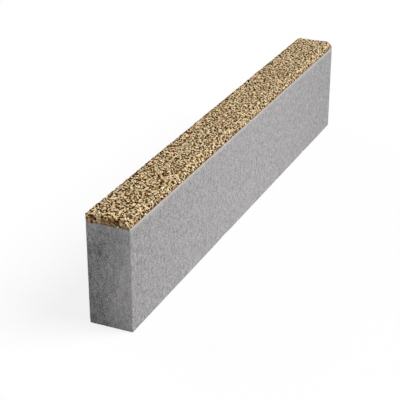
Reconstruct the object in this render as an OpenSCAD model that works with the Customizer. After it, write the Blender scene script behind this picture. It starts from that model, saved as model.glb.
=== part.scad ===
// Concrete kerb stone with an exposed-aggregate facing.
// One cast block of two mixes: a grey backing body and a tan stone-chip facing on top.
// The length runs along X, the chamfered face edge is on the -Y side, and +Z is up.
// The origin is at the centre of the base.

/* [Kerb] */
// Length of one kerb, end face to end face
kerb_length = 1000; // [500:10:1500]
// Width across the base
kerb_width = 80; // [60:1:200]
// Overall height, base to top
kerb_height = 200; // [120:5:400]

/* [Face edge] */
// Width of the chamfer along the top face edge, seen from above
chamfer_width = 10; // [4:0.5:25]
// Drop of that chamfer, seen from the end
chamfer_drop = 12; // [4:0.5:25]

/* [Facing] */
// Thickness of the stone-chip facing, from the bond plane to the top
facing_thickness = 13; // [6:0.5:40]

/* [Mould] */
// Radius that the mould's upright corners leave on the four vertical arrises
mould_corner_radius = 2; // [0.5:0.25:6]

/* [Hidden] */

// Facets of a full circle, for the mould's corners
$fn = 48;

// Level of the bond between the backing concrete and the facing
bond_level = kerb_height - facing_thickness;

body_colour = "#A8A6A7";
facing_colour = "#AA9370";

// Section across the kerb, as the tamper head and the mould walls leave it:
// square at the back, chamfered along the face edge.
module kerb_section() {
    face_y = -kerb_width / 2;
    back_y = kerb_width / 2;
    polygon([
        [face_y, 0],
        [back_y, 0],
        [back_y, kerb_height],
        [face_y + chamfer_width, kerb_height],
        [face_y, kerb_height - chamfer_drop],
    ]);
}

// The section carried along the whole length.
module section_bar() {
    rotate([90, 0, 90])
        linear_extrude(height = kerb_length, center = true)
            kerb_section();
}

// Plan of the mould box: a rectangle with rounded corners.
module mould_plan() {
    straight_length = kerb_length - 2 * mould_corner_radius;
    straight_width = kerb_width - 2 * mould_corner_radius;
    square([kerb_length, straight_width], center = true);
    square([straight_length, kerb_width], center = true);
    for (end = [-1, 1], side = [-1, 1])
        translate([end * straight_length / 2, side * straight_width / 2])
            circle(r = mould_corner_radius);
}

// What one filling of the mould casts between two levels.
module cast_between(low, high) {
    intersection() {
        section_bar();
        translate([0, 0, low])
            linear_extrude(height = high - low)
                mould_plan();
    }
}

// Grey backing concrete, from the base to the bond.
module concrete_body() {
    color(body_colour)
        cast_between(0, bond_level);
}

// Tan stone-chip facing, from the bond to the top, with the chamfer.
module facing_layer() {
    color(facing_colour)
        cast_between(bond_level, kerb_height);
}

concrete_body();
facing_layer();
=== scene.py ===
"""Dresses a concrete kerb stone: a pored grey body, a mortar bed and the stone chips of its facing.

Lengths are in metres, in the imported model's frame: X along the kerb, -Y on the chamfered face side, Z up.
"""
import logging
import math
from dataclasses import dataclass, field, replace
from enum import Enum, IntEnum
from typing import Mapping, Optional, Sequence, Union

import bmesh
import bpy
import numpy as np
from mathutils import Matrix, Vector


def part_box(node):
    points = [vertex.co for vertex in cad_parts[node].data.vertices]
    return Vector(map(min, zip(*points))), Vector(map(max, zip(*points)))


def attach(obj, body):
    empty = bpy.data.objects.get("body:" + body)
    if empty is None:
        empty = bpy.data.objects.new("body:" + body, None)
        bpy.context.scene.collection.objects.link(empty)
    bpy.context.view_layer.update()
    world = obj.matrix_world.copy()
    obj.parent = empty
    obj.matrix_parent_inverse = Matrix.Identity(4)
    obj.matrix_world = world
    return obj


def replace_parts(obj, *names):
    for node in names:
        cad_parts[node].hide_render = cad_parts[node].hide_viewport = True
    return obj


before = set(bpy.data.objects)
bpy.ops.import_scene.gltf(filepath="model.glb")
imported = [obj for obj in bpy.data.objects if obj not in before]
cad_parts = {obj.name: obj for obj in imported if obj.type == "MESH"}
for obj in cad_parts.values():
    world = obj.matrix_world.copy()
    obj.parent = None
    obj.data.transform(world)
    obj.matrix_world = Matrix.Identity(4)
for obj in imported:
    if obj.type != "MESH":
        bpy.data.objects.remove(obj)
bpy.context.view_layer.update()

Array = np.ndarray
Colour = tuple[float, float, float]
Point = tuple[float, float, float]
Span = tuple[float, float]
Number = Union[float, "Value"]

BODY = "root"
# Map on which the facing lies unrolled, one place for each stone
UNROLLED_MAP = "OFBake"
# Vertices that lie closer together than this become one
WELD_GAP = 1e-6
# A length that counts as none, which keeps a division clear of zero
NO_LENGTH = 1e-9
# Distance between the rows of a hexagonal lattice, as a share of its pitch
HEX_ROW_SHARE = math.sqrt(0.75)
# Where the even and the odd rows of that lattice start, as shares of its pitch
HEX_START_SHARES = (0.25, 0.75)

log = logging.getLogger("kerb")


# Shader expressions


class Value:
    """A number that a node gives over the surface, for use in Python expressions."""

    def __init__(self, shading: "Shading", socket: bpy.types.NodeSocket) -> None:
        """Hold the socket and the shading that its nodes are added to."""
        self.shading = shading
        self.socket = socket

    def __add__(self, other: Number) -> "Value":
        """Sum of the two."""
        return self.shading.math("ADD", self, other)

    def __sub__(self, other: Number) -> "Value":
        """This less the other."""
        return self.shading.math("SUBTRACT", self, other)

    def __rsub__(self, other: Number) -> "Value":
        """The other less this."""
        return self.shading.math("SUBTRACT", other, self)

    def __mul__(self, other: Number) -> "Value":
        """Product of the two."""
        return self.shading.math("MULTIPLY", self, other)

    def __gt__(self, other: Number) -> "Value":
        """1 where this is the greater, and 0 elsewhere."""
        return self.shading.math("GREATER_THAN", self, other)

    __radd__ = __add__
    __rmul__ = __mul__


@dataclass(frozen=True)
class Grain:
    """A cloudy pattern: its largest features' width, its octaves of finer ones and its strength.

    The roughness is the strength of each octave as a share of the one before.
    """

    size: float
    detail: float
    gain: float
    roughness: float = 0.5


@dataclass(frozen=True)
class Spots:
    """Round spots in the cells of a Voronoi pattern: the cells' width and the share that have a spot.

    The reach is a spot's radius in cell widths, and the core is the share of it that is full.
    """

    spacing: float
    share: float
    reach: float
    core: float = 0.4


class Shading:
    """The node tree of one material or world, with short ways to add its nodes."""

    NOISE_MEAN = 0.5

    def __init__(self, owner: Union[bpy.types.Material, bpy.types.World]) -> None:
        """Start an empty tree on a material or a world."""
        owner.use_nodes = True
        self.tree = owner.node_tree
        self.tree.nodes.clear()

    def node(
        self,
        kind: str,
        settings: Optional[Mapping[str, object]] = None,
        sockets: Optional[Mapping[Union[str, int], object]] = None,
    ) -> bpy.types.Node:
        """Add a node, set it up, then fill or link its sockets.

        Args:
            kind: the node's type
            settings: its own properties, set first
            sockets: a value, a Value or an output for each named or numbered input
        Returns:
            the new node
        """
        made = self.tree.nodes.new(kind)
        for name, setting in (settings or {}).items():
            setattr(made, name, setting)
        for name, given in (sockets or {}).items():
            source = given.socket if isinstance(given, Value) else given
            if isinstance(source, bpy.types.NodeSocket):
                self.tree.links.new(source, made.inputs[name])
            else:
                made.inputs[name].default_value = source
        return made

    def math(self, operation: str, first: Number, second: Number) -> Value:
        """A Math node on two numbers."""
        made = self.node("ShaderNodeMath", {"operation": operation}, {0: first, 1: second})
        return Value(self, made.outputs[0])

    def place(self) -> bpy.types.NodeSocket:
        """The piece's own coordinates, in metres."""
        return self.node("ShaderNodeTexCoord").outputs["Object"]

    def squeezed(
        self,
        place: bpy.types.NodeSocket,
        upward: float,
        shift: Point = (0.0, 0.0, 0.0),
    ) -> bpy.types.NodeSocket:
        """Coordinates scaled along Z, where less than 1 draws a pattern out upright, and then shifted."""
        sockets = {"Vector": place, "Location": shift, "Scale": (1.0, 1.0, upward)}
        return self.node("ShaderNodeMapping", {}, sockets).outputs[0]

    def along(self, place: bpy.types.NodeSocket, axis: str) -> Value:
        """One coordinate of a place, by the name of its axis."""
        return Value(self, self.node("ShaderNodeSeparateXYZ", {}, {0: place}).outputs[axis])

    def noise(self, place: bpy.types.NodeSocket, grain: Grain) -> Value:
        """Cloudy values about 0, from about -0.5 to 0.5 at a gain of 1.

        Args:
            place: coordinates that the pattern follows
            grain: the pattern's sizes and strength
        Returns:
            the noise, less its mean
        """
        sockets = {
            "Vector": place,
            "Scale": 1 / grain.size,
            "Detail": grain.detail,
            "Roughness": grain.roughness,
        }
        made = self.node("ShaderNodeTexNoise", {}, sockets)
        return (Value(self, made.outputs["Fac"]) - self.NOISE_MEAN) * grain.gain

    def pits(self, place: bpy.types.NodeSocket, spots: Spots) -> Value:
        """Round spots, one in some of the cells of a Voronoi pattern.

        Args:
            place: coordinates that the pattern follows
            spots: the pattern's sizes
        Returns:
            1 in the middle of a spot, falling to 0 at its rim
        """
        cells = self.node("ShaderNodeTexVoronoi", {}, {"Vector": place, "Scale": 1 / spots.spacing})
        drawn = self.node("ShaderNodeSeparateColor", {}, {0: cells.outputs["Color"]})
        present = 1 - (Value(self, drawn.outputs[0]) > spots.share)
        away = Value(self, cells.outputs["Distance"])
        return self.step(away, spots.reach, spots.core * spots.reach) * present

    def step(self, value: Number, start: float, end: float) -> Value:
        """A smoothstep from 0 to 1.

        Args:
            value: the number that the step follows
            start: where the step is 0
            end: where it is 1
        Returns:
            the step
        """
        sockets = {"Value": value, "From Min": start, "From Max": end}
        made = self.node("ShaderNodeMapRange", {"interpolation_type": "SMOOTHSTEP"}, sockets)
        return Value(self, made.outputs[0])

    def attribute(self, name: str) -> Value:
        """A number stored on the mesh."""
        made = self.node("ShaderNodeAttribute", {"attribute_name": name})
        return Value(self, made.outputs["Fac"])

    def bump(self, relief: Value, strength: float, depth: float) -> bpy.types.NodeSocket:
        """Normals that follow a relief of this depth."""
        sockets = {"Strength": strength, "Distance": depth, "Height": relief}
        return self.node("ShaderNodeBump", {}, sockets).outputs[0]

    def mix(
        self,
        first: Union[Colour, bpy.types.NodeSocket],
        second: Union[Colour, bpy.types.NodeSocket],
        factor: Number,
    ) -> bpy.types.NodeSocket:
        """A straight blend of two colours.

        Args:
            first: the colour where the factor is 0
            second: the colour where it is 1
            factor: the second colour's share
        Returns:
            the blended colour
        """
        colours = [(*c, 1.0) if isinstance(c, tuple) else c for c in (first, second)]
        sockets = {"Factor": factor, 6: colours[0], 7: colours[1]}
        return self.node("ShaderNodeMix", {"data_type": "RGBA"}, sockets).outputs[2]

    def surface(self, sockets: Mapping[str, object]) -> None:
        """End the tree with a Principled surface that has these sockets."""
        shader = self.node("ShaderNodeBsdfPrincipled", {}, sockets)
        self.node("ShaderNodeOutputMaterial", {}, {"Surface": shader.outputs[0]})


def new_material(name: str) -> tuple[bpy.types.Material, Shading]:
    """A new material and the shading on its tree."""
    made = bpy.data.materials.new(name)
    return made, Shading(made)


# Shapes as arrays


class ValueNoise:
    """Smooth random values on a repeating lattice of points in space."""

    CELLS = 32

    def __init__(self, seed: int) -> None:
        """Draw the lattice's values."""
        self.lattice = np.random.default_rng(seed).random((self.CELLS,) * 3)

    def at(self, points: Array, size: float) -> Array:
        """Blend the eight lattice values round each point with smoothstep weights.

        Args:
            points: places, one row for each
            size: width of one lattice cell
        Returns:
            a value from 0 to 1 for each point
        """
        cell = np.floor(points / size).astype(int)
        part = points / size - cell
        part = part * part * (3 - 2 * part)
        total = np.zeros(len(points))
        for corner in np.ndindex(2, 2, 2):
            weight = np.where(corner, part, 1 - part).prod(axis=1)
            total += weight * self.lattice[tuple(((cell + corner) % self.CELLS).T)]
        return total


def graded(low: float, high: float, rim: float, fine: float, coarse: float) -> Array:
    """Stations between two ends, close together within a rim at each end and further apart between.

    Args:
        low: first station
        high: last station
        rim: width of the finely divided stretch at each end
        fine: spacing there
        coarse: spacing between
    Returns:
        the stations, in order
    """
    edge = np.linspace(0, rim, max(round(rim / fine), 1) + 1)
    middle = np.linspace(low + rim, high - rim, max(round((high - low - 2 * rim) / coarse), 1) + 1)
    return np.concatenate([low + edge[:-1], middle, high - edge[-2::-1]])


def ring_quads(rows: int, columns: int) -> Array:
    """Quads of a grid stored row by row, whose last column joins its first.

    Args:
        rows: how many rows the grid has
        columns: how many points each row has
    Returns:
        vertex numbers, one row for each quad
    """
    row, column = np.meshgrid(np.arange(rows - 1), np.arange(columns), indexing="ij")
    after = (column + 1) % columns
    corners = [row * columns + column, row * columns + after]
    corners += [corner + columns for corner in corners[::-1]]
    return np.stack(corners, axis=-1).reshape(-1, 4)


def shrunk(ring: Array, middle: Array, steps: int) -> Array:
    """Rings that go from an outer ring to its middle in even steps.

    Args:
        ring: the outer ring's points
        middle: where each of them ends
        steps: how many rings to make
    Returns:
        the rings, from the one next to the outer ring to the middle
    """
    share = np.linspace(0, 1, steps + 1)[1:, None, None]
    return ring + share * (middle - ring)


def mesh_object(name: str, vertices: Array, faces: Array) -> bpy.types.Object:
    """Put vertices and faces of one size into a new object, shaded smooth.

    Args:
        name: the piece's name
        vertices: places, one row for each
        faces: vertex numbers, one row for each face
    Returns:
        the object, which stands at the origin
    """
    mesh = bpy.data.meshes.new(name)
    mesh.vertices.add(len(vertices))
    mesh.vertices.foreach_set("co", vertices.astype(np.float32).ravel())
    mesh.loops.add(faces.size)
    mesh.loops.foreach_set("vertex_index", faces.astype(np.int32).ravel())
    mesh.polygons.add(len(faces))
    mesh.polygons.foreach_set("loop_start", np.arange(0, faces.size, faces.shape[1], dtype=np.int32))
    mesh.update(calc_edges=True)
    mesh.polygons.foreach_set("use_smooth", np.ones(len(faces), dtype=bool))
    piece = bpy.data.objects.new(name, mesh)
    bpy.context.scene.collection.objects.link(piece)
    return piece


def store(piece: bpy.types.Object, name: str, values: Array) -> None:
    """Store a number for each vertex of a piece."""
    made = piece.data.attributes.new(name, "FLOAT", "POINT")
    made.data.foreach_set("value", values.astype(np.float32))


def weld(piece: bpy.types.Object) -> None:
    """Merge the vertices that lie together, which closes the caps at their middles.

    Args:
        piece: what to weld
    """
    shape = bmesh.new()
    shape.from_mesh(piece.data)
    bmesh.ops.remove_doubles(shape, verts=shape.verts, dist=WELD_GAP)
    shape.to_mesh(piece.data)
    shape.free()


class Corner(IntEnum):
    """Corners of the facing's section, from the back's foot over the top to the face's foot."""

    BACK_FOOT = 0
    BACK_TOP = 1
    CHAMFER_TOP = 2
    CHAMFER_FOOT = 3
    FACE_FOOT = 4


@dataclass(frozen=True)
class KerbForm:
    """The kerb's outer form: its box, its bond level, and its chamfer and corners."""

    length: float
    width: float
    height: float
    bond: float
    chamfer_width: float = 0.010
    chamfer_drop: float = 0.012
    corner_radius: float = 0.002

    @classmethod
    def from_frame(cls) -> "KerbForm":
        """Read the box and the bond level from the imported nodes.

        Returns:
            the form
        """
        low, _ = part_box("concrete_body")
        facing_low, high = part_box("facing_layer")
        return cls(high.x - low.x, high.y - low.y, high.z, facing_low.z)

    @property
    def chamfer_normal(self) -> Array:
        """Outward normal of the chamfer, as its Y and Z."""
        slope = np.array([-self.chamfer_drop, self.chamfer_width])
        return slope / np.linalg.norm(slope)

    def plan(self, rim: float, fine: float, coarse: float, arc_steps: int) -> tuple[Array, Array]:
        """The mould's outline from above, counter-clockwise: a straight run, then a quarter circle.

        Args:
            rim: finely divided length at each end of a straight run
            fine: spacing there
            coarse: spacing between
            arc_steps: steps in each corner's quarter circle
        Returns:
            the outline's points and its outward normals, each with a Z of 0
        """
        half = np.array([self.length / 2 - self.corner_radius, self.width / 2 - self.corner_radius])
        points, normals = [], []
        for side in range(4):
            turn = math.pi / 2 * side
            along = np.array([math.cos(turn), math.sin(turn)])
            out = np.array([math.sin(turn), -math.cos(turn)])
            reach = abs(along @ half)
            run = graded(-reach, reach, rim, fine, coarse)[:, None]
            points.append(run * along + (abs(out @ half) + self.corner_radius) * out)
            normals.append(np.repeat(out[None], len(run), axis=0))
            angle = (turn - math.pi / 2 + np.linspace(0, math.pi / 2, arc_steps + 1)[1:-1])[:, None]
            arc = np.concatenate([np.cos(angle), np.sin(angle)], axis=1)
            points.append((along + out) * np.abs((along + out) * half) + self.corner_radius * arc)
            normals.append(arc)
        flat = [np.concatenate(rows) for rows in (points, normals)]
        return tuple(np.pad(rows, ((0, 0), (0, 1))) for rows in flat)

    def section(self, inset: float, recess: float) -> Array:
        """Places of the facing's corners in its section, as Y and Z.

        Args:
            inset: how far the upright walls are set in
            recess: how far the top is set in, and the chamfer's upper edge
        Returns:
            a row for each Corner, in order
        """
        normal_y, normal_z = self.chamfer_normal
        foot = np.array([-self.width / 2, self.height - self.chamfer_drop])
        back, face, top = self.width / 2 - inset, inset - self.width / 2, self.height - recess
        brow_y = foot[0] - (recess + normal_z * (top - foot[1])) / normal_y
        foot_z = foot[1] - inset
        return np.array([[back, self.bond], [back, top], [brow_y, top], [face, foot_z], [face, self.bond]])

    def clip(self, points: Array, inset: Union[float, Array]) -> Array:
        """Push points that lie outside the mould back onto its walls.

        Args:
            points: places, with X, Y and Z last
            inset: how far the walls are set in, as a number or for each point
        Returns:
            the points, none outside the set-in walls
        """
        x, y, z = np.moveaxis(points, -1, 0)
        x = np.clip(x, inset - self.length / 2, self.length / 2 - inset)
        y = np.clip(y, inset - self.width / 2, self.width / 2 - inset)
        z = np.minimum(z, self.height - inset)
        normal_y, normal_z = self.chamfer_normal
        rise = z - (self.height - self.chamfer_drop)
        beyond = np.maximum(normal_y * (y + self.width / 2) + normal_z * rise + inset, 0)
        y, z = y - normal_y * beyond, z - normal_z * beyond
        over_x = np.maximum(np.abs(x) - (self.length / 2 - self.corner_radius), 0)
        over_y = np.maximum(np.abs(y) - (self.width / 2 - self.corner_radius), 0)
        reach = np.maximum(np.hypot(over_x, over_y), NO_LENGTH)
        cut = 1 - np.minimum((self.corner_radius - inset) / reach, 1)
        return np.stack([x - np.sign(x) * over_x * cut, y - np.sign(y) * over_y * cut, z], axis=-1)


# Finishes


@dataclass(frozen=True)
class ConcreteFinish:
    """Grey concrete: sandy and pored, with a pale band under the chamfer that is a painted highlight of the
    arris.

    The ends and the back are cast, with clouds, pores and a smear of slurry, and the face is smoother.
    """

    name: str = "grey_concrete"
    deep: Colour = (0.12, 0.116, 0.118)
    pale: Colour = (0.665, 0.648, 0.656)
    # Pale colour of the painted highlight along the joint under the chamfer
    painted_highlight: Colour = (0.70, 0.635, 0.56)
    slurry: Colour = (0.16, 0.105, 0.055)
    clouds: Grain = Grain(size=0.032, detail=1.0, gain=0.72)
    mottle: Grain = Grain(size=0.0065, detail=3.0, gain=1.15, roughness=0.7)
    drag: Grain = Grain(size=0.0030, detail=1.0, gain=0.22)
    sand: Grain = Grain(size=0.0021, detail=3.0, gain=2.6, roughness=0.7)
    smear_edge: Grain = Grain(size=0.006, detail=2.0, gain=0.0066)
    pores: Spots = Spots(spacing=0.0095, share=0.28, reach=0.18)
    pinholes: Spots = Spots(spacing=0.0036, share=0.35, reach=0.18)
    cloud_squeeze: float = 0.6
    cloud_shift: Point = (3.33, 4.77, 2.61)
    mottle_squeeze: float = 0.7
    drag_squeeze: float = 0.1
    face_clouds: float = 0.09
    face_drag: float = 0.5
    cast_drag: float = 0.6
    face_pores: float = 0.2
    cast_pores: float = 0.8
    mid_tone: float = 0.515
    # How much the pores and pinholes darken the colour, as painted shade
    pore_painted_shade: float = 0.8
    pinhole_painted_shade: float = 0.45
    wear_tone: float = 0.18
    # Height and strength of the painted highlight band below the bond on the face side
    highlight_height: float = 0.009
    highlight_cover: float = 0.65
    smear_height: float = 0.003
    smear_cover: float = 0.8
    mottle_relief: float = 0.6
    sand_relief: float = 0.5
    bump_strength: float = 0.6
    bump_depth: float = 0.0009
    roughness: float = 0.9
    specular: float = 0.3

    def material(self, bond: float) -> bpy.types.Material:
        """Grey between a deep and a pale tone by clouds, upright streaks, sand and pores.

        Args:
            bond: level of the joint with the facing
        Returns:
            the material
        """
        made, shading = new_material(self.name)
        place = shading.place()
        drifting = shading.squeezed(place, self.cloud_squeeze, self.cloud_shift)
        upright = shading.squeezed(place, self.mottle_squeeze)
        dragged = shading.squeezed(place, self.drag_squeeze)
        cast = shading.attribute("cast")
        clouds = shading.noise(drifting, self.clouds) * (self.face_clouds + cast)
        mottle = shading.noise(upright, self.mottle)
        drag = shading.noise(dragged, self.drag) * (self.face_drag + self.cast_drag * cast)
        sand = shading.noise(place, self.sand)
        pores = shading.pits(upright, self.pores) * (self.face_pores + self.cast_pores * cast)
        pinholes = shading.pits(place, self.pinholes)
        # Painted shade in the pores and pinholes: they darken the colour as well as the relief
        spots = self.pore_painted_shade * pores + self.pinhole_painted_shade * pinholes
        # The tone takes in the walls' painted light and shade
        tone = self.mid_tone + clouds + mottle + drag + sand - spots + shading.attribute("painted_light_and_shade")
        grey = shading.mix(self.deep, self.pale, tone + self.wear_tone * shading.attribute("wear"))
        below = bond - shading.along(place, "Z")
        smear = shading.step(below + shading.noise(place, self.smear_edge), self.smear_height, 0.0) * cast
        # A pale band just below the bond on the face side: a painted highlight of the arris
        line = shading.step(below, self.highlight_height, 0.0) * (1 - cast)
        grey = shading.mix(grey, self.painted_highlight, line * self.highlight_cover)
        grey = shading.mix(grey, self.slurry, smear * self.smear_cover)
        relief = mottle * self.mottle_relief + sand * self.sand_relief - pores - pinholes
        shading.surface({
            "Base Color": grey,
            "Roughness": self.roughness,
            "Specular IOR Level": self.specular,
            "Normal": shading.bump(relief, self.bump_strength, self.bump_depth),
        })
        return made


@dataclass(frozen=True)
class MortarFinish:
    """The brown mortar that the stone chips are bedded in, with sand in it, its brown kept very dark as
    painted shade between the stones.
    """

    name: str = "brown_mortar"
    # The mortar's own brown, darkened further as painted shade in the crevices between the stones
    deep: Colour = (0.022, 0.012, 0.003)
    pale: Colour = (0.15, 0.088, 0.026)
    skin: Colour = (0.34, 0.215, 0.105)
    # Pale colour of the painted highlight on the mortar's lip at the face
    painted_highlight: Colour = (0.60, 0.545, 0.48)
    sand: Grain = Grain(size=0.0016, detail=2.0, gain=1.6)
    clouds: Grain = Grain(size=0.02, detail=2.0, gain=0.5)
    mid_tone: float = 0.35
    skin_cover: float = 0.45
    highlight_depth: float = 0.0008
    bump_strength: float = 0.7
    bump_depth: float = 0.0008
    roughness: float = 0.95
    specular: float = 0.1

    def material(self, face: float) -> bpy.types.Material:
        """Brown between a deep and a pale tone by clouds and sand, and a painted highlight on the lip at the
        face.

        Args:
            face: how far the face side lies from the middle
        Returns:
            the material
        """
        made, shading = new_material(self.name)
        place = shading.place()
        depth = face + shading.along(place, "Y")
        sand = shading.noise(place, self.sand)
        clouds = shading.noise(place, self.clouds)
        brown = shading.mix(self.deep, self.pale, self.mid_tone + sand + clouds)
        cover = shading.attribute("skin") * (self.skin_cover + sand + clouds)
        brown = shading.mix(brown, self.skin, cover)
        # The lip at the face is painted pale: a painted highlight of the joint under the chamfer
        brown = shading.mix(brown, self.painted_highlight, shading.step(depth, self.highlight_depth, 0.0))
        shading.surface({
            "Base Color": brown,
            "Roughness": self.roughness,
            "Specular IOR Level": self.specular,
            "Normal": shading.bump(sand, self.bump_strength, self.bump_depth),
        })
        return made


@dataclass(frozen=True)
class StoneFinish:
    """One sort of stone in the facing, from its deep to its pale tone."""

    deep: Colour
    pale: Colour
    clouds: Grain = Grain(size=0.0035, detail=2.0, gain=0.6)
    flecks: Grain = Grain(size=0.0009, detail=1.0, gain=0.5)
    roughness: float = 0.85
    specular: float = 0.04

    def material(self, name: str) -> bpy.types.Material:
        """Each stone's own tone, clouded and flecked with fine crystals.

        Args:
            name: the material's name
        Returns:
            the material
        """
        made, shading = new_material(name)
        place = shading.place()
        clouds = shading.noise(place, self.clouds)
        flecks = shading.noise(place, self.flecks)
        tone = shading.attribute("tone") + clouds + flecks
        shading.surface({
            "Base Color": shading.mix(self.deep, self.pale, tone),
            "Roughness": self.roughness,
            "Specular IOR Level": self.specular,
        })
        return made


class Stone(Enum):
    """The sorts of stone in the facing mix, each with its finish, in the order of a rising score."""

    DARK = StoneFinish(deep=(0.022, 0.008, 0.0003), pale=(0.100, 0.040, 0.002))
    OCHRE = StoneFinish(deep=(0.19, 0.105, 0.027), pale=(0.41, 0.25, 0.085))
    TAN = StoneFinish(deep=(0.46, 0.31, 0.13), pale=(0.71, 0.515, 0.255))
    ROSE = StoneFinish(deep=(0.46, 0.245, 0.11), pale=(0.74, 0.45, 0.235))
    CREAM = StoneFinish(deep=(0.76, 0.59, 0.35), pale=(0.95, 0.80, 0.545), roughness=0.8)


# The grey body


@dataclass
class ConcreteBody:
    """The backing concrete: the mould's plan carried up from the base to the bond.

    A wall whose normal's Y lies above the face turn is cast. The others belong to the face.
    """

    form: KerbForm
    finish: ConcreteFinish = ConcreteFinish()
    rim: float = 0.006
    fine: float = 0.001
    coarse: float = 0.0026
    arc_steps: int = 5
    base_rings: int = 7
    bond_rings: int = 2
    wave_size: float = 0.09
    wave_depth: float = 0.00025
    grain_size: float = 0.0045
    grain_depth: float = 0.00018
    pit_count: int = 170
    pit_radii: Span = (0.0022, 0.0048)
    pit_depth: float = 0.0011
    arris_wear: float = 0.0006
    corner_share: float = 0.6
    nick_sizes: Span = (0.017, 0.055)
    nick_floor: float = 0.48
    nick_depth: float = 0.0035
    face_turn: float = -0.5
    # Painted light and shade on the walls: long sides paler at mid-length, ends darker to the back and the
    # foot
    side_painted_light: float = 0.11
    side_light_balance: float = 0.5
    end_painted_shade: float = 0.14
    end_shade_rise: float = 0.12
    seed: int = 11
    noise: ValueNoise = field(default_factory=lambda: ValueNoise(seed=7))

    def relief(self, wall: Array) -> Array:
        """Slow waves and fine grain of the wall: the sum of two noises, each times its depth."""
        waves = self.wave_depth * self.noise.at(wall, self.wave_size)
        return waves + self.grain_depth * self.noise.at(wall, self.grain_size)

    def pits(self, wall: Array) -> Array:
        """Round air pits at random places: a paraboloid within each one's radius.

        Args:
            wall: the wall's points before any relief
        Returns:
            how deep each point lies in a pit
        """
        rng = np.random.default_rng(self.seed)
        middles = wall[rng.integers(0, len(wall), self.pit_count)]
        radii = rng.uniform(*self.pit_radii, self.pit_count)
        depth = np.zeros(len(wall))
        for middle, radius in zip(middles, radii):
            share = np.linalg.norm(wall - middle, axis=1) / radius
            deepest = self.pit_depth * radius / radii.max()
            depth = np.maximum(depth, deepest * np.clip(1 - share**2, 0, 1))
        return depth

    def wear(self, wall: Array) -> Array:
        """Rounding and nicks of the arrises: a bevel as wide as a noise along the arris says.

        Args:
            wall: the wall's points before any relief
        Returns:
            how deep each point is worn away
        """
        short, long = (self.noise.at(wall, size) for size in self.nick_sizes)
        nick = np.clip(short * long - self.nick_floor, 0, 1) / (1 - self.nick_floor)
        bevel = self.arris_wear + self.nick_depth * nick
        gap_x = self.form.length / 2 - np.abs(wall[:, 0])
        gap_y = self.form.width / 2 - np.abs(wall[:, 1])
        corner = np.maximum(bevel - np.maximum(gap_x, gap_y), 0) * self.corner_share
        return np.maximum(corner, np.maximum(bevel - wall[:, 2], 0))

    def painted_light_and_shade(self, wall: Array, out: Array) -> Array:
        """Painted light and shade: the ends darken to back and foot, and the long sides pale to mid-length.

        Args:
            wall: the wall's points before any relief
            out: the wall's outward normals
        Returns:
            what each point's tone gains
        """
        across = wall[:, 1] / (self.form.width / 2)
        along = wall[:, 0] / (self.form.length / 2)
        upward = wall[:, 2] / self.form.bond - 0.5
        # The long sides' painted light, then the ends' painted shade
        side = self.side_painted_light * (self.side_light_balance - along**2) * np.abs(out[:, 1])
        return side + (self.end_shade_rise * upward - self.end_painted_shade * across) * np.abs(out[:, 0])

    def build(self) -> bpy.types.Object:
        """Carry the plan up the wall and shrink it to the middle line at the base and at the bond.

        Returns:
            the dressed piece
        """
        plan, normals = self.form.plan(self.rim, self.fine, self.coarse, self.arc_steps)
        heights = graded(0, self.form.bond, self.rim, self.fine, self.coarse)
        wall = (plan[None] + heights[:, None, None] * np.array([0, 0, 1])).reshape(-1, 3)
        out = np.tile(normals, (len(heights), 1))
        worn = self.wear(wall)
        depth = self.relief(wall) + worn + self.pits(wall)
        grid = (wall - out * depth[:, None]).reshape(len(heights), -1, 3)
        reach = self.form.length / 2 - self.form.width / 2
        middle = np.clip(plan * np.array([1, 0, 0]), -reach, reach)
        base = shrunk(grid[0], middle, self.base_rings)
        bond = shrunk(grid[-1], middle + np.array([0, 0, self.form.bond]), self.bond_rings)
        rows = np.concatenate([base[::-1], grid, bond])
        piece = mesh_object("concrete_body_skin", rows.reshape(-1, 3), ring_quads(len(rows), len(plan)))
        store(piece, "cast", np.tile(normals[:, 1] > self.face_turn, len(rows)))
        # Wear of the arrises, and the walls' painted light and shade
        wear_and_painted_light = {"wear": np.clip(worn / self.nick_depth, 0, 1), "painted_light_and_shade": self.painted_light_and_shade(wall, out)}
        for name, values in wear_and_painted_light.items():
            spread = np.zeros(rows.shape[:2])
            spread[self.base_rings:-self.bond_rings] = values.reshape(grid.shape[:2])
            store(piece, name, spread.ravel())
        weld(piece)
        piece.data.materials.append(self.finish.material(self.form.bond))
        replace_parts(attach(piece, BODY), "concrete_body")
        return piece


# The facing


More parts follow.
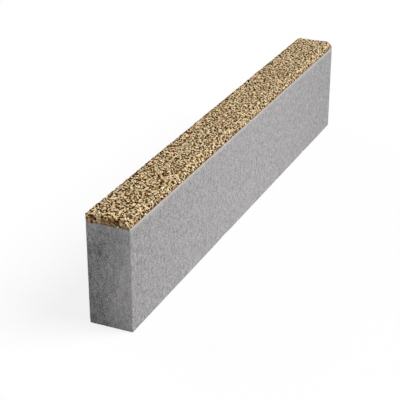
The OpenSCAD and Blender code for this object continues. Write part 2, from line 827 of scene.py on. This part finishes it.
@dataclass
class MortarBed:
    """The mortar of the facing: its section, set in below the stones, carried along the kerb."""

    form: KerbForm
    finish: MortarFinish = MortarFinish()
    inset: float = 0.0002
    recess: float = 0.0019
    roughness: float = 0.0007
    rough_size: float = 0.0032
    sink_shares: Point = (0.15, 0.15, 1.0)
    skin_depth: float = 0.0002
    step: float = 0.0024
    cap_rings: int = 8
    noise: ValueNoise = field(default_factory=lambda: ValueNoise(seed=19))

    def profile(self) -> Array:
        """The closed section: each edge between two corners in even steps.

        Returns:
            the points, as Y and Z
        """
        corners = self.form.section(self.inset, self.recess)
        runs = []
        for start, end in zip(corners, np.roll(corners, -1, axis=0)):
            count = max(round(math.dist(start, end) / self.step), 1)
            runs.append(np.linspace(start, end, count, endpoint=False))
        return np.concatenate(runs)

    def roughened(self, points: Array) -> Array:
        """Points above the bond moved inwards by a noise, and mostly down.

        Args:
            points: the bed's points
        Returns:
            the points, none outside the set-in mould
        """
        noise = self.noise.at(points, self.rough_size)[:, None]
        sunk = np.array(self.sink_shares) * self.roughness * noise
        lifted = points[:, 2:] > self.form.bond + self.roughness
        return self.form.clip(np.where(lifted, points - np.sign(points) * sunk, points), self.inset)

    def build(self) -> bpy.types.Object:
        """Carry the section along the kerb, shrink it to its middle at both ends and roughen it.

        Returns:
            the dressed piece
        """
        profile = self.profile()
        half = self.form.length / 2 - self.inset
        stations = np.linspace(-half, half, round(2 * half / self.step) + 1)
        opening = np.linspace(0, 1, self.cap_rings, endpoint=False)
        x = np.concatenate([np.full(self.cap_rings, -half), stations, np.full(self.cap_rings, half)])
        scale = np.concatenate([opening, np.ones(len(stations)), opening[::-1]])
        middle = (profile.min(axis=0) + profile.max(axis=0)) / 2
        section = middle + scale[:, None, None] * (profile - middle)
        along = np.broadcast_to(x[:, None, None], (*section.shape[:2], 1))
        points = self.roughened(np.concatenate([along, section], axis=2).reshape(-1, 3))
        piece = mesh_object("facing_mortar", points, ring_quads(len(x), len(profile)))
        past_end = np.abs(points[:, 0]) - half
        past_side = np.abs(points[:, 1]) - self.form.width / 2 + self.inset
        store(piece, "skin", np.maximum(past_end, past_side) > -self.skin_depth)
        weld(piece)
        piece.data.materials.append(self.finish.material(self.form.width / 2))
        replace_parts(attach(piece, BODY), "facing_layer")
        return piece


@dataclass(frozen=True)
class Bedding:
    """How the stones lie on one stretch of the facing, and how many are of each sort.

    The spread is of a radius's logarithm. Evenness and patchiness are the weights, in the draw of a
    stone's sort, of what is dealt among neighbours and of a slow noise.
    """

    pitch: float
    radius: float
    spread: float
    sink_share: float
    evenness: float
    patchiness: float
    shares: Mapping[Stone, float]


WASHED = Bedding(
    pitch=0.0033,
    radius=0.0018,
    spread=0.22,
    sink_share=0.9,
    evenness=0.75,
    patchiness=0.05,
    shares={Stone.DARK: 0.34, Stone.OCHRE: 0.08, Stone.TAN: 0.16, Stone.ROSE: 0.03, Stone.CREAM: 0.39},
)
# Stones of the chamfer: fewer dark and more cream ones than on the top, as painted light on the chamfer
# facing the key lamp
CHAMFER_PAINTED_LIGHT = replace(
    WASHED,
    sink_share=0.8,
    shares={Stone.DARK: 0.23, Stone.OCHRE: 0.08, Stone.TAN: 0.19, Stone.ROSE: 0.03, Stone.CREAM: 0.47},
)
MOULDED = Bedding(
    pitch=0.0042,
    radius=0.0024,
    spread=0.30,
    sink_share=0.25,
    evenness=0.0,
    patchiness=0.5,
    shares={Stone.DARK: 0.14, Stone.OCHRE: 0.19, Stone.TAN: 0.20, Stone.ROSE: 0.29, Stone.CREAM: 0.18},
)


@dataclass
class Sites:
    """Where stones sit: places on the facing, their frames, places on the unrolled sheet and dealt draws."""

    middle: Array
    along: Array
    out: Array
    sheet: Array
    draw: Array
    bedding: Bedding


@dataclass
class StoneChips:
    """The stones of the facing, each a small block split along a few cleavage planes.

    Their lattice stops short of the top by the brow on the back and the ends, and on the chamfer it
    stops short of the foot by the bare lip.
    """

    form: KerbForm
    segments: int = 7
    ring_angles: tuple[float, ...] = (0.6, 1.15, 1.8)
    planes: int = 7
    plane_range: Span = (0.62, 0.95)
    top_tilt: float = 0.22
    least_cosine: float = 0.05
    longest: float = 1.12
    swell_range: Span = (-0.6, 0.5)
    stretch: float = 0.25
    thickness: float = 0.75
    shake: float = 0.34
    block_rows: int = 2
    block_columns: int = 3
    deepest_sink: float = 0.0008
    inset_range: Span = (0.00002, 0.00016)
    patch_size: float = 0.014
    brow: float = 0.0012
    bare_lip: float = 0.0007
    band_drop: float = 0.0006
    margin_width: float = 0.004
    # Dark stones gathered near the back edge, the ends and the chamfer's foot: painted shade along those
    # edges
    margin_painted_shade: float = 0.50
    foot_share: float = 0.34
    ragged_depth: float = 0.0012
    level_least: float = 0.9
    sheet_rows: int = 4
    sheet_gap: float = 0.006
    seed: int = 23
    noise: ValueNoise = field(default_factory=lambda: ValueNoise(seed=31))

    def __post_init__(self) -> None:
        """Start the random draws."""
        self.rng = np.random.default_rng(self.seed)

    def lattice(self, low: Sequence[float], high: Sequence[float], pitch: float) -> tuple[Array, Array]:
        """Sites of a hexagonal lattice over a rectangle, each shaken by a share of the pitch.

        Args:
            low: the rectangle's first corner
            high: its opposite corner
            pitch: distance between neighbours
        Returns:
            the sites, one row for each, and the draws that are dealt to them
        """
        columns = round((high[0] - low[0]) / pitch)
        rows = max(round((high[1] - low[1]) / (pitch * HEX_ROW_SHARE)), 1)
        row, column = np.meshgrid(np.arange(rows), np.arange(columns), indexing="ij")
        stagger = np.take(HEX_START_SHARES, row % 2)
        share = np.stack([(column + stagger) / columns, (row + 0.5) / rows], axis=-1)
        sites = np.array(low) + share.reshape(-1, 2) * (np.array(high) - np.array(low))
        sites = sites + self.rng.uniform(-self.shake, self.shake, sites.shape) * pitch
        block = row // self.block_rows * columns + column // self.block_columns
        return sites, self.dealt(block.ravel())

    def dealt(self, blocks: Array) -> Array:
        """Draws from 0 to 1 that are spread evenly within each block of neighbours.

        The stones of a block are ranked at random, and each draws from its own rank's share of the range.

        Args:
            blocks: the number of each stone's block
        Returns:
            a draw for each stone
        """
        ranked = np.lexsort((self.rng.random(len(blocks)), blocks))
        place = np.empty(len(blocks))
        place[ranked] = np.arange(len(blocks)) - np.searchsorted(blocks[ranked], blocks[ranked])
        return (place + self.rng.random(len(blocks))) / np.bincount(blocks)[blocks]

    def on_section(self, first: Corner, last: Corner, bedding: Bedding) -> Sites:
        """Sites along the kerb on a stretch of its section, which is walked from corner to corner.

        Args:
            first: the section's corner that the stretch starts at
            last: the corner that it ends at
            bedding: how the stones lie there
        Returns:
            the sites
        """
        corners = self.form.section(0.0, 0.0)
        steps = np.diff(corners, axis=0)
        lengths = np.linalg.norm(steps, axis=1)
        walked = np.concatenate([[0], np.cumsum(lengths)])
        half = self.form.length / 2
        bare = {Corner.BACK_TOP: self.brow, Corner.CHAMFER_FOOT: self.bare_lip}.get(last, 0.0)
        sheet, draw = self.lattice((-half, walked[first]), (half, walked[last] - bare), bedding.pitch)
        sheet[:, 1] = np.clip(sheet[:, 1], 0, walked[-1])
        edge = np.clip(np.searchsorted(walked, sheet[:, 1], side="right") - 1, 0, len(steps) - 1)
        across = [np.interp(sheet[:, 1], walked, corners[:, axis]) for axis in (0, 1)]
        middle = np.stack([sheet[:, 0], *across], axis=1)
        along = np.tile([1.0, 0.0, 0.0], (len(edge), 1))
        inward = np.stack([np.zeros(len(edge)), -steps[edge, 1], steps[edge, 0]], axis=1)
        return Sites(middle, along, -inward / lengths[edge, None], sheet, draw, bedding)

    def on_end(self, end: int, bedding: Bedding) -> Sites:
        """Sites on the band of facing at one end of the kerb, from just under the bond to the brow.

        Args:
            end: -1 for the end at the lowest X, 1 for the other
            bedding: how the stones lie there
        Returns:
            the sites
        """
        half_width = self.form.width / 2
        low = (-half_width, self.form.bond - self.band_drop)
        high = (half_width, self.form.height - self.brow)
        flat, draw = self.lattice(low, high, bedding.pitch)
        middle = np.column_stack([np.full(len(flat), end * self.form.length / 2), flat])
        along = np.tile([0.0, 1.0, 0.0], (len(flat), 1))
        out = np.tile([float(end), 0.0, 0.0], (len(flat), 1))
        beyond = end * (self.form.length / 2 - self.form.width)
        risen = flat[:, 1] - self.form.bond + self.sheet_height()
        sheet = np.column_stack([flat[:, 0] * end + beyond, risen])
        return Sites(middle, along, out, sheet, draw, bedding)

    def sheet_height(self) -> float:
        """Height on the unrolled sheet at which the bands of the two ends start."""
        steps = np.diff(self.form.section(0.0, 0.0), axis=0)
        return float(np.linalg.norm(steps, axis=1).sum()) + self.sheet_gap

    def directions(self) -> Array:
        """Directions from a stone's middle to its vertices: a top, rings round it and a bottom.

        Returns:
            the directions, one row for each vertex
        """
        polar = np.repeat(self.ring_angles, self.segments)
        turn = np.tile(np.arange(self.segments) * 2 * math.pi / self.segments, len(self.ring_angles))
        flat = np.sin(polar)[:, None] * np.stack([np.cos(turn), np.sin(turn)], axis=1)
        rings = np.column_stack([flat, np.cos(polar)])
        return np.concatenate([[[0, 0, 1]], rings, [[0, 0, -1]]])

    def faces(self) -> Array:
        """Triangles of one stone: a fan at its top, two for each cell between rings, a fan below.

        Returns:
            vertex numbers, one row for each triangle
        """
        here = np.arange(self.segments)
        after = (here + 1) % self.segments
        rings = len(self.ring_angles)
        made = [np.stack([np.zeros_like(here), 1 + here, 1 + after], axis=1)]
        for ring in range(rings - 1):
            upper, lower = 1 + ring * self.segments, 1 + (ring + 1) * self.segments
            made.append(np.stack([upper + here, lower + here, lower + after], axis=1))
            made.append(np.stack([upper + here, lower + after, upper + after], axis=1))
        last = 1 + (rings - 1) * self.segments
        bottom = np.full_like(here, last + self.segments)
        made.append(np.stack([bottom, last + after, last + here], axis=1))
        return np.concatenate(made)

    def split(self, count: int) -> Array:
        """Unit stones: in each direction the radius is the distance to the nearest cleavage plane.

        Args:
            count: how many stones to make
        Returns:
            their vertices, as stone, vertex and coordinate
        """
        facing = self.rng.normal(size=(count, self.planes, 3))
        facing[:, 0] = facing[:, 0] * self.top_tilt + np.array([0, 0, 1])
        facing /= np.linalg.norm(facing, axis=2, keepdims=True)
        away = self.rng.uniform(*self.plane_range, (count, self.planes))
        toward = self.directions()
        cosine = np.maximum(np.einsum("npc,vc->npv", facing, toward), self.least_cosine)
        radius = np.minimum((away[:, :, None] / cosine).min(axis=1), self.longest)
        return radius[:, :, None] * toward

    def sized(self, count: int, bedding: Bedding) -> Array:
        """Stones of random sizes, flatter than they are wide and drawn out one way.

        Args:
            count: how many stones to make
            bedding: the stretch that they are for
        Returns:
            their vertices, as stone, vertex and coordinate
        """
        swell = self.rng.normal(0, bedding.spread, count).clip(*self.swell_range)
        radius = bedding.radius * np.exp(swell)
        stretch = np.exp(self.rng.uniform(-self.stretch, self.stretch, count))
        size = np.stack([radius * stretch, radius / stretch, radius * self.thickness], axis=1)
        return self.split(count) * size[:, None]

    def sheet_uv(self, sheet: Array, offset: Array) -> Array:
        """Place of each vertex on the unrolled sheet, which is cut into rows that fill a square.

        Args:
            sheet: each stone's place on the sheet
            offset: each vertex's place from there, along and across
        Returns:
            map coordinates, as stone, vertex and axis
        """
        run = self.form.length / self.sheet_rows
        row = np.clip(np.floor((sheet[:, 0] + self.form.length / 2) / run), 0, self.sheet_rows - 1)
        tall = self.sheet_height() + self.form.height - self.form.bond + 2 * self.sheet_gap
        start_x = row * run - self.form.length / 2 - self.sheet_gap
        start_y = -self.sheet_gap - row * tall
        size = np.array([run + 2 * self.sheet_gap, tall * self.sheet_rows])
        return ((sheet - np.stack([start_x, start_y], axis=1))[:, None] + offset) / size

    def build(self) -> list[bpy.types.Object]:
        """Bed the stones on every stretch of the facing and join those of each sort.

        Returns:
            the dressed pieces, one for each sort of stone
        """
        stretches = [
            self.on_section(Corner.BACK_TOP, Corner.CHAMFER_TOP, WASHED),
            self.on_section(Corner.CHAMFER_TOP, Corner.CHAMFER_FOOT, CHAMFER_PAINTED_LIGHT),
            self.on_section(Corner.BACK_FOOT, Corner.BACK_TOP, MOULDED),
            self.on_end(-1, MOULDED),
            self.on_end(1, MOULDED),
        ]
        made = [self.bedded(sites) for sites in stretches]
        points, maps, tones, sorts = (np.concatenate(rows) for rows in zip(*made))
        pieces = []
        for number, stone in enumerate(Stone):
            chosen = sorts == number
            pieces.append(self.joined(stone, points[chosen], maps[chosen], tones[chosen]))
        return pieces

    def bedded(self, sites: Sites) -> tuple[Array, Array, Array, Array]:
        """Turn, size and bed a stone at each site, flattened where it meets the mould.

        Args:
            sites: where the stones sit
        Returns:
            the stones' vertices, map places, tones and sorts
        """
        count = len(sites.middle)
        local = self.sized(count, sites.bedding)
        turn = self.rng.uniform(0, 2 * math.pi, (count, 1))
        flat_x = local[..., 0] * np.cos(turn) - local[..., 1] * np.sin(turn)
        flat_y = local[..., 0] * np.sin(turn) + local[..., 1] * np.cos(turn)
        sunk = local[:, 0, 2] * sites.bedding.sink_share + self.rng.uniform(0, self.deepest_sink, count)
        sunk = sunk + self.ragged(sites) * self.rng.random(count)
        rise = local[..., 2] - sunk[:, None]
        across = np.cross(sites.out, sites.along)
        points = sites.middle[:, None] + flat_x[..., None] * sites.along[:, None]
        points = points + flat_y[..., None] * across[:, None] + rise[..., None] * sites.out[:, None]
        points = self.form.clip(points, self.rng.uniform(*self.inset_range, (count, 1)))
        maps = self.sheet_uv(sites.sheet, np.stack([flat_x, flat_y], axis=-1))
        sorts = self.sorts(sites)
        return points, maps, self.rng.random(count), sorts

    def sorts(self, sites: Sites) -> Array:
        """The sort of each stone: stones are ranked by a score, and each sort takes its share of the ranks.

        The score is a weighted sum of a free draw, the dealt draw and a slow noise, less near an edge, which
        gathers dark stones there as painted shade.

        Args:
            sites: where the stones sit
        Returns:
            the number of each stone's sort
        """
        count, bedding = len(sites.middle), sites.bedding
        patch = self.noise.at(sites.middle, self.patch_size)
        freedom = 1 - bedding.evenness - bedding.patchiness
        score = freedom * self.rng.random(count) + bedding.evenness * sites.draw + bedding.patchiness * patch
        # Near the edges more stones turn dark, as painted shade
        score = score - self.margin_painted_shade * self.margin(sites)
        rank = np.argsort(np.argsort(score)) / count
        steps = np.cumsum([bedding.shares[stone] for stone in Stone])
        return np.minimum(np.searchsorted(steps, rank), len(steps) - 1)

    def ragged(self, sites: Sites) -> Array:
        """How deep a stone of the top may have sunk: its closeness to the edges times the ragged depth.

        Args:
            sites: where the stones sit
        Returns:
            the greatest extra depth of each stone
        """
        return self.ragged_depth * self.margin(sites) * (sites.out[:, 2] > self.level_least)

    def margin(self, sites: Sites) -> Array:
        """Closeness of a stone to the back edge or an end, or a share of that to the chamfer's foot.

        Args:
            sites: where the stones sit
        Returns:
            the closeness of each stone, from 0 inland to 1
        """
        back = self.form.width / 2 - sites.middle[:, 1]
        end = self.form.length / 2 - np.abs(sites.middle[:, 0])
        foot = sites.middle[:, 2] - (self.form.height - self.form.chamfer_drop)
        near_edge = np.clip(1 - np.minimum(back, end) / self.margin_width, 0, 1)
        near_foot = np.clip(1 - foot / self.margin_width, 0, 1)
        return np.maximum(near_edge, self.foot_share * near_foot)

    def joined(self, stone: Stone, points: Array, maps: Array, tones: Array) -> bpy.types.Object:
        """Join the stones of one sort into a piece and dress it.

        Args:
            stone: the sort
            points: the stones' vertices
            maps: their places on the unrolled sheet
            tones: each stone's tone, from 0 to 1
        Returns:
            the dressed piece
        """
        one = self.faces()
        count, corners = points.shape[:2]
        faces = (np.arange(count)[:, None, None] * corners + one).reshape(-1, 3)
        name = f"{stone.name.lower()}_stone_chips"
        piece = mesh_object(name, points.reshape(-1, 3), faces)
        piece.data.polygons.foreach_set("use_smooth", np.zeros(len(faces), dtype=bool))
        store(piece, "tone", np.repeat(tones, corners))
        layer = piece.data.uv_layers.new(name=UNROLLED_MAP)
        layer.uv.foreach_set("vector", maps.reshape(-1, 2)[faces.ravel()].astype(np.float32).ravel())
        piece.data.materials.append(stone.value.material(name))
        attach(piece, BODY)
        return piece


# Studio


@dataclass
class Studio:
    """A pale floor, a soft lamp from the face side and a weaker one behind, an even sky, and the camera."""

    floor_half: float = 15.0
    floor_drop: float = 0.0003
    floor_bounce: Colour = (0.5, 0.5, 0.5)
    floor_pale: Colour = (0.97, 0.97, 0.97)
    floor_glow: float = 0.8
    sky_colour: Colour = (1.0, 1.0, 1.0)
    sky_strength: float = 0.35
    key_from: Point = (0.25, -0.62, 0.74)
    key_strength: float = 2.6
    key_spread: float = 0.7
    fill_from: Point = (0.35, 0.90, 0.25)
    fill_strength: float = 0.9
    fill_spread: float = 1.0
    camera_place: Point = (-1.9617, -0.8093, 1.0168)
    camera_toward: Point = (0.82615, 0.36754, -0.42708)
    lens: float = 106.69

    @staticmethod
    def seen(shading: Shading) -> Value:
        """1 for rays that show the surroundings to the camera, straight, by a reflection or through glass.

        Args:
            shading: the tree to add the nodes to
        Returns:
            1 where the ray is of one of the three kinds, and 0 elsewhere
        """
        light_path = shading.node("ShaderNodeLightPath").outputs
        kinds = ("Is Camera Ray", "Is Glossy Ray", "Is Transmission Ray")
        straight, glossy, through = (Value(shading, light_path[kind]) for kind in kinds)
        return shading.math("MAXIMUM", shading.math("MAXIMUM", straight, glossy), through)

    def floor(self) -> bpy.types.Object:
        """A plane whose paleness is partly its own, so that it is white and still keeps the shadow.

        Returns:
            the floor
        """
        reach = self.floor_half
        corners = np.array([[-reach, -reach], [reach, -reach], [reach, reach], [-reach, reach]])
        vertices = np.column_stack([corners, np.full(4, -self.floor_drop)])
        plane = mesh_object("floor", vertices, np.arange(4)[None])
        made, shading = new_material("pale_floor")
        seen = self.seen(shading)
        colour = shading.mix(self.floor_bounce, self.floor_pale, seen)
        matt = shading.node("ShaderNodeBsdfDiffuse", {}, {"Color": colour})
        glow = shading.node("ShaderNodeEmission", {}, {"Strength": 1.0})
        sockets = {0: seen * self.floor_glow, 1: matt.outputs[0], 2: glow.outputs[0]}
        both = shading.node("ShaderNodeMixShader", {}, sockets)
        shading.node("ShaderNodeOutputMaterial", {}, {"Surface": both.outputs[0]})
        plane.data.materials.append(made)
        return plane

    @staticmethod
    def lamp(name: str, origin: Point, strength: float, spread: float) -> None:
        """Add a wide, far lamp.

        Args:
            name: the lamp's name
            origin: direction that its light comes from
            strength: its strength in watts for each square metre
            spread: the angle that it fills, in radians
        """
        lamp = bpy.data.lights.new(name, "SUN")
        lamp.energy = strength
        lamp.angle = spread
        holder = bpy.data.objects.new(name, lamp)
        holder.rotation_euler = Vector(origin).to_track_quat("Z", "Y").to_euler()
        bpy.context.scene.collection.objects.link(holder)

    def light(self) -> None:
        """Add the two lamps, and a sky that looks white and lights evenly."""
        self.lamp("key_lamp", self.key_from, self.key_strength, self.key_spread)
        self.lamp("fill_lamp", self.fill_from, self.fill_strength, self.fill_spread)
        world = bpy.data.worlds.new("even_sky")
        shading = Shading(world)
        strength = self.sky_strength + self.seen(shading) * (1 - self.sky_strength)
        sockets = {"Color": (*self.sky_colour, 1.0), "Strength": strength}
        sky = shading.node("ShaderNodeBackground", {}, sockets)
        shading.node("ShaderNodeOutputWorld", {}, {"Surface": sky.outputs[0]})
        bpy.context.scene.world = world

    def camera(self) -> None:
        """Stand the camera at the photograph's viewing angle."""
        data = bpy.data.cameras.new("camera")
        data.lens = self.lens
        holder = bpy.data.objects.new("camera", data)
        holder.location = self.camera_place
        holder.rotation_euler = Vector(self.camera_toward).to_track_quat("-Z", "Y").to_euler()
        bpy.context.scene.collection.objects.link(holder)
        bpy.context.scene.camera = holder
        bpy.context.scene.view_settings.view_transform = "Standard"


def report(pieces: Sequence[bpy.types.Object]) -> None:
    """Log each piece's name and size.

    Args:
        pieces: the dressed pieces
    """
    for piece in pieces:
        mesh = piece.data
        log.info("%s: %d vertices, %d faces", piece.name, len(mesh.vertices), len(mesh.polygons))


def main() -> None:
    """Build the body, the bed and the stones, then the studio."""
    logging.basicConfig(level=logging.INFO)
    form = KerbForm.from_frame()
    report([ConcreteBody(form).build()])
    report([MortarBed(form).build()])
    report(StoneChips(form).build())
    studio = Studio()
    report([studio.floor()])
    studio.light()
    studio.camera()


if __name__ == "__main__":
    main()
